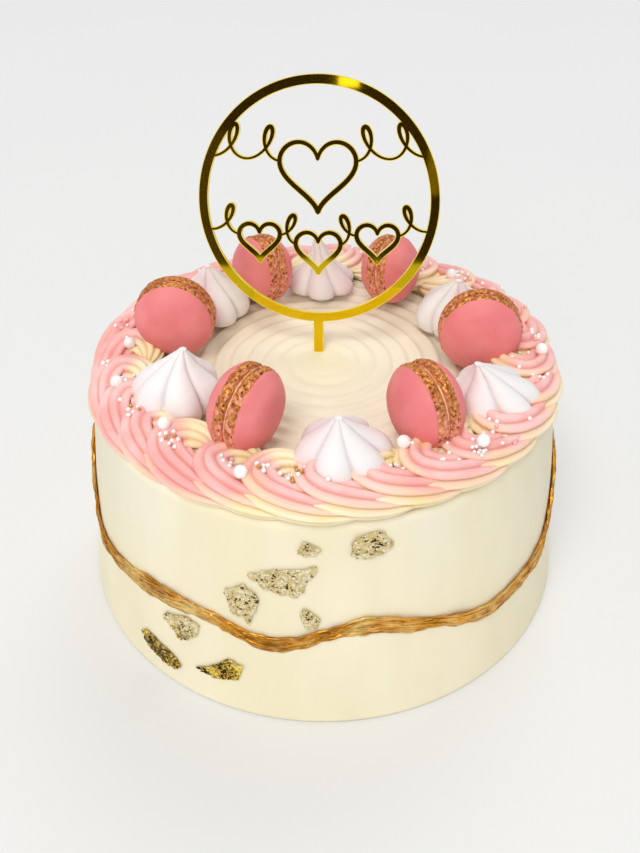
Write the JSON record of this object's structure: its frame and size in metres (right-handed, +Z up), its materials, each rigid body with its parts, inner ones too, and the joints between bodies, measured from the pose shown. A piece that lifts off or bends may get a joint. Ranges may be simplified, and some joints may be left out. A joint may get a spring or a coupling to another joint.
{
  "type": "birthday cake",
  "caption": "Tall round cake in smooth cream icing with a piped swirl border, macarons, meringue kisses, pearls, gold leaf, a painted gold band and a ring topper on a stake.",
  "frame": {"origin": "middle of the cake's base, on the surface it stands on", "axes": "+Z up through the cake, -Y towards the front, which the topper faces"},
  "size_m": [0.2238, 0.2238, 0.2122],
  "materials": {
    "icing": "satin cream icing",
    "piped_cream": "satin piped buttercream",
    "gold_paint": "brushed metallic paint",
    "macaron_shell": "smooth matt crust",
    "macaron_filling": "satin ganache",
    "meringue": "dry satin",
    "mirror_acrylic": "gold mirror"
  },
  "bodies": {
    "root": {"cake": "icing", "piped_border": "piped_cream", "gold_band": "gold_paint", "macaron_front_left_shell_a": "macaron_shell", "macaron_front_left_shell_b": "macaron_shell", "macaron_front_left_filling": "macaron_filling", "macaron_left_shell_a": "macaron_shell", "macaron_left_shell_b": "macaron_shell", "macaron_left_filling": "macaron_filling", "macaron_back_left_shell_a": "macaron_shell", "macaron_back_left_shell_b": "macaron_shell", "macaron_back_left_filling": "macaron_filling", "macaron_back_right_shell_a": "macaron_shell", "macaron_back_right_shell_b": "macaron_shell", "macaron_back_right_filling": "macaron_filling", "macaron_right_shell_a": "macaron_shell", "macaron_right_shell_b": "macaron_shell", "macaron_right_filling": "macaron_filling", "macaron_front_right_shell_a": "macaron_shell", "macaron_front_right_shell_b": "macaron_shell", "macaron_front_right_filling": "macaron_filling", "meringue_front": "meringue", "meringue_left": "meringue", "meringue_back_left": "meringue", "meringue_back": "meringue", "meringue_back_right": "meringue", "meringue_right": "meringue", "topper": "mirror_acrylic"}
  },
  "joints": []
}
